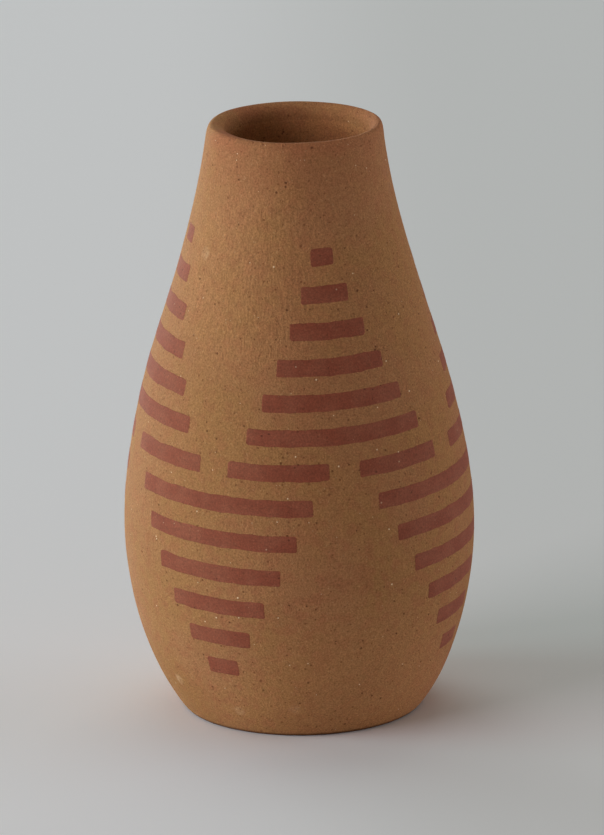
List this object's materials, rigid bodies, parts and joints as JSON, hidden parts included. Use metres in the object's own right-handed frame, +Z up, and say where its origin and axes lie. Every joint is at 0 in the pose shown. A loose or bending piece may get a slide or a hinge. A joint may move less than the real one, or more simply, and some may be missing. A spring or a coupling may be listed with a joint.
{
  "type": "clay vessel",
  "caption": "Tall pear-shaped earthenware vase with a narrow open mouth, a rounded lip, a flat foot and a painted pattern of stepped slip bars.",
  "frame": {"origin": "middle of the foot's underside, on the surface that the vessel stands on", "axes": "+Z up along the vessel's axis, -Y towards the front, the side that the picture shows, +X to the right of it"},
  "size_m": [0.1454, 0.1454, 0.25],
  "materials": {
    "clay": "matte unglazed earthenware",
    "slip": "matte red-brown slip"
  },
  "bodies": {
    "root": {"floor_pad": "clay", "rim_coil": "clay", "slip_bar_back_lower_1": "slip", "slip_bar_back_lower_2": "slip", "slip_bar_back_lower_3": "slip", "slip_bar_back_lower_4": "slip", "slip_bar_back_lower_5": "slip", "slip_bar_back_lower_6": "slip", "slip_bar_back_upper_1": "slip", "slip_bar_back_upper_2": "slip", "slip_bar_back_upper_3": "slip", "slip_bar_back_upper_4": "slip", "slip_bar_back_upper_5": "slip", "slip_bar_back_upper_6": "slip", "slip_bar_belt_1": "slip", "slip_bar_belt_2": "slip", "slip_bar_belt_3": "slip", "slip_bar_belt_4": "slip", "slip_bar_belt_5": "slip", "slip_bar_belt_6": "slip", "slip_bar_belt_7": "slip", "slip_bar_belt_8": "slip", "slip_bar_front_lower_1": "slip", "slip_bar_front_lower_2": "slip", "slip_bar_front_lower_3": "slip", "slip_bar_front_lower_4": "slip", "slip_bar_front_lower_5": "slip", "slip_bar_front_lower_6": "slip", "slip_bar_front_upper_1": "slip", "slip_bar_front_upper_2": "slip", "slip_bar_front_upper_3": "slip", "slip_bar_front_upper_4": "slip", "slip_bar_front_upper_5": "slip", "slip_bar_front_upper_6": "slip", "slip_bar_left_lower_1": "slip", "slip_bar_left_lower_2": "slip", "slip_bar_left_lower_3": "slip", "slip_bar_left_lower_4": "slip", "slip_bar_left_lower_5": "slip", "slip_bar_left_lower_6": "slip", "slip_bar_left_upper_1": "slip", "slip_bar_left_upper_2": "slip", "slip_bar_left_upper_3": "slip", "slip_bar_left_upper_4": "slip", "slip_bar_left_upper_5": "slip", "slip_bar_left_upper_6": "slip", "slip_bar_right_lower_1": "slip", "slip_bar_right_lower_2": "slip", "slip_bar_right_lower_3": "slip", "slip_bar_right_lower_4": "slip", "slip_bar_right_lower_5": "slip", "slip_bar_right_lower_6": "slip", "slip_bar_right_upper_1": "slip", "slip_bar_right_upper_2": "slip", "slip_bar_right_upper_3": "slip", "slip_bar_right_upper_4": "slip", "slip_bar_right_upper_5": "slip", "slip_bar_right_upper_6": "slip", "vessel_wall": "clay"}
  },
  "joints": []
}
